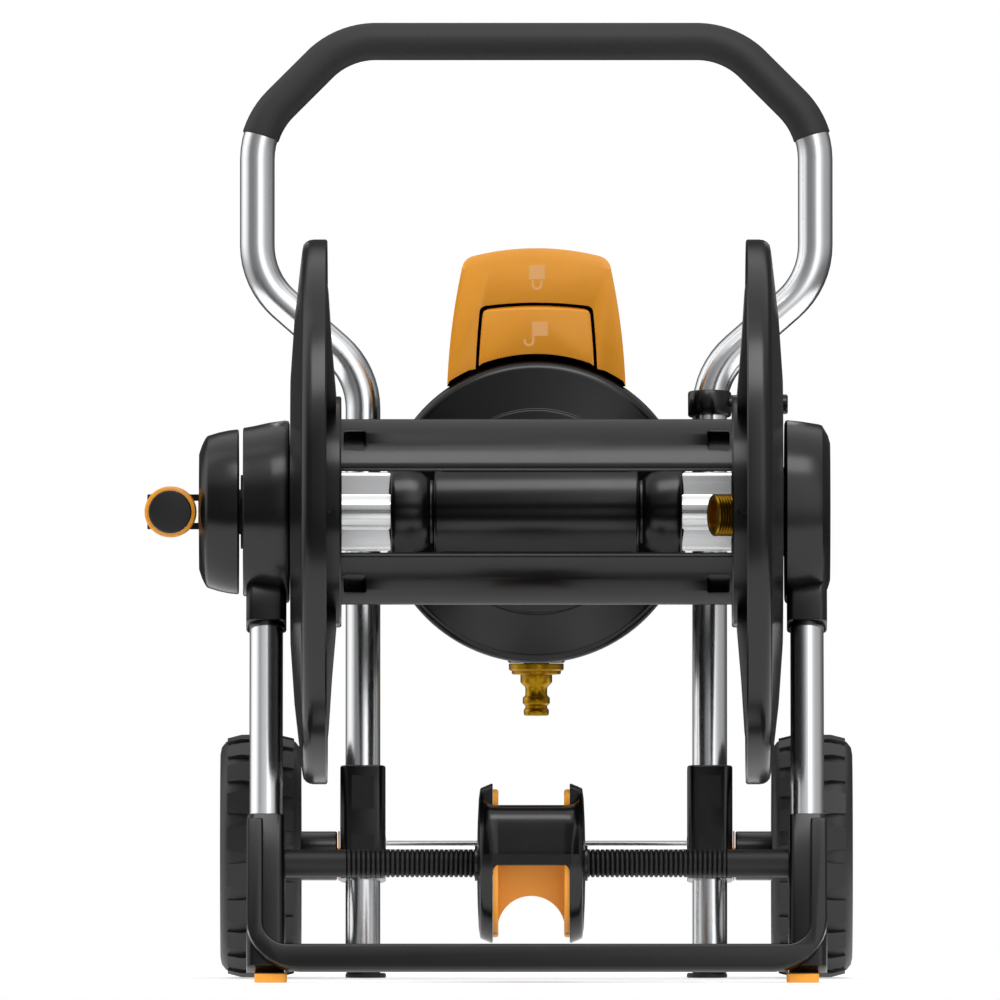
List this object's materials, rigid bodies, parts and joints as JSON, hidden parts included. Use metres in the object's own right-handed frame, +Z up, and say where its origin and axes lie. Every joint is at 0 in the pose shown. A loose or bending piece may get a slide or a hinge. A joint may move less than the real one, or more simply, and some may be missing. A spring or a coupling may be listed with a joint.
{
  "type": "hose reel cart",
  "caption": "Wheeled garden hose reel: flanged drum with folding crank, bent tube handle, front legs with a sliding hose guide, and a lockable swivel base with inlet.",
  "frame": {"origin": "under the middle of the cart, on the ground", "axes": "+Z up, -Y to the front, where the drum and the hose guide are, +X to the right as seen from the front"},
  "size_m": [0.4424, 0.4406, 0.5994],
  "materials": {
    "bright_metal": "bright drawn tube",
    "steel": "plain turned",
    "brass": "satin turned",
    "gloss_black": "moulded, semi-gloss",
    "matt_black": "moulded, matt",
    "soft_grip": "soft foam sleeve",
    "tyre": "moulded tread",
    "orange": "moulded, semi-gloss",
    "cap_black": "moulded, smooth"
  },
  "bodies": {
    "frame": {"handle_tube": "bright_metal", "handle_grip": "soft_grip", "foot_cap_right": "matt_black", "foot_cap_left": "matt_black", "axle_bracket_right": "gloss_black", "axle_bracket_left": "gloss_black", "thrust_washer_right": "orange", "thrust_washer_left": "orange", "axle_cross_tube": "bright_metal", "axle_rod": "steel", "axle_cap_right": "cap_black", "axle_cap_left": "cap_black", "beam": "bright_metal", "water_pipe": "matt_black", "swivel_housing": "gloss_black", "lock_pin": "steel", "tube_clamp_right": "gloss_black", "tube_clamp_left": "gloss_black", "bearing_housing_right": "gloss_black", "bearing_housing_left": "gloss_black", "bearing_bush_right": "matt_black", "bearing_bush_left": "matt_black", "leg_clip_right": "gloss_black", "leg_clip_left": "gloss_black", "leg_tube_right": "bright_metal", "leg_tube_left": "bright_metal", "foot_socket_right": "gloss_black", "foot_socket_left": "gloss_black", "front_bar": "gloss_black", "foot_pad_right": "orange", "foot_pad_left": "orange", "guide_bar": "matt_black", "accessory_peg": "gloss_black", "swivel_spindle": "steel"},
    "wheel_right": {"wheel_rim_right": "gloss_black", "wheel_tyre_right": "tyre"},
    "wheel_left": {"wheel_rim_left": "gloss_black", "wheel_tyre_left": "tyre"},
    "turntable": {"turntable": "gloss_black", "inlet_nipple": "brass"},
    "lock_pedal": {"lock_pedal": "orange"},
    "release_tab": {"release_tab": "orange"},
    "lock_bolt": {"lock_bolt": "steel"},
    "drum": {"flange_right": "gloss_black", "flange_left": "gloss_black", "drum_bar_1": "matt_black", "drum_bar_2": "matt_black", "drum_bar_3": "matt_black", "drum_bar_4": "matt_black", "hose_connector": "brass", "drive_shaft": "matt_black", "crank_disc": "gloss_black", "water_spigot": "matt_black", "spigot_seal": "matt_black", "crank_pin": "steel"},
    "crank_rod": {"grip_spindle": "steel"},
    "crank_handle": {"crank_grip": "orange", "grip_end_cap": "matt_black"},
    "hose_guide": {"hose_guide": "gloss_black", "guide_liner": "orange"}
  },
  "joints": [
    {"name": "wheel_right_spin", "type": "hinge", "parent": "frame", "child": "wheel_right", "pos_m": [0.17283, 0.14135, 0.07625], "axis": [1, 0, 0], "continuous": true},
    {"name": "wheel_left_spin", "type": "hinge", "parent": "frame", "child": "wheel_left", "pos_m": [-0.12717, 0.14135, 0.07625], "axis": [1, 0, 0], "continuous": true},
    {"name": "turntable_turn", "type": "hinge", "parent": "frame", "child": "turntable", "pos_m": [0.02283, 0.18935, 0.292], "axis": [0, 1, 0], "continuous": true},
    {"name": "pedal_tilt", "type": "hinge", "parent": "frame", "child": "lock_pedal", "pos_m": [0.02283, 0.15535, 0.399], "axis": [-1, 0, 0], "range_deg": [0, 18]},
    {"name": "tab_slide", "type": "slide", "parent": "frame", "child": "release_tab", "axis": [0, -1, 0], "range_m": [0, 0.006]},
    {"name": "bolt_slide", "type": "slide", "parent": "frame", "child": "lock_bolt", "axis": [0, 0, -1], "range_m": [0, 0.006]},
    {"name": "drum_spin", "type": "hinge", "parent": "frame", "child": "drum", "pos_m": [0.02283, -0.05065, 0.292], "axis": [1, 0, 0], "continuous": true},
    {"name": "crank_fold", "type": "hinge", "parent": "drum", "child": "crank_rod", "pos_m": [-0.20527, 0.04435, 0.292], "axis": [0, 0, -1], "range_deg": [0, 90]},
    {"name": "crank_grip_spin", "type": "hinge", "parent": "crank_rod", "child": "crank_handle", "pos_m": [-0.20527, -0.03065, 0.292], "axis": [0, -1, 0], "continuous": true},
    {"name": "guide_slide", "type": "slide", "parent": "frame", "child": "hose_guide", "axis": [1, 0, 0], "range_m": [-0.08, 0.087]}
  ],
  "couplings": [
    {"joint": "tab_slide", "follows": "pedal_tilt", "m_per_rad": 0.019},
    {"joint": "bolt_slide", "follows": "pedal_tilt", "m_per_rad": 0.019}
  ]
}
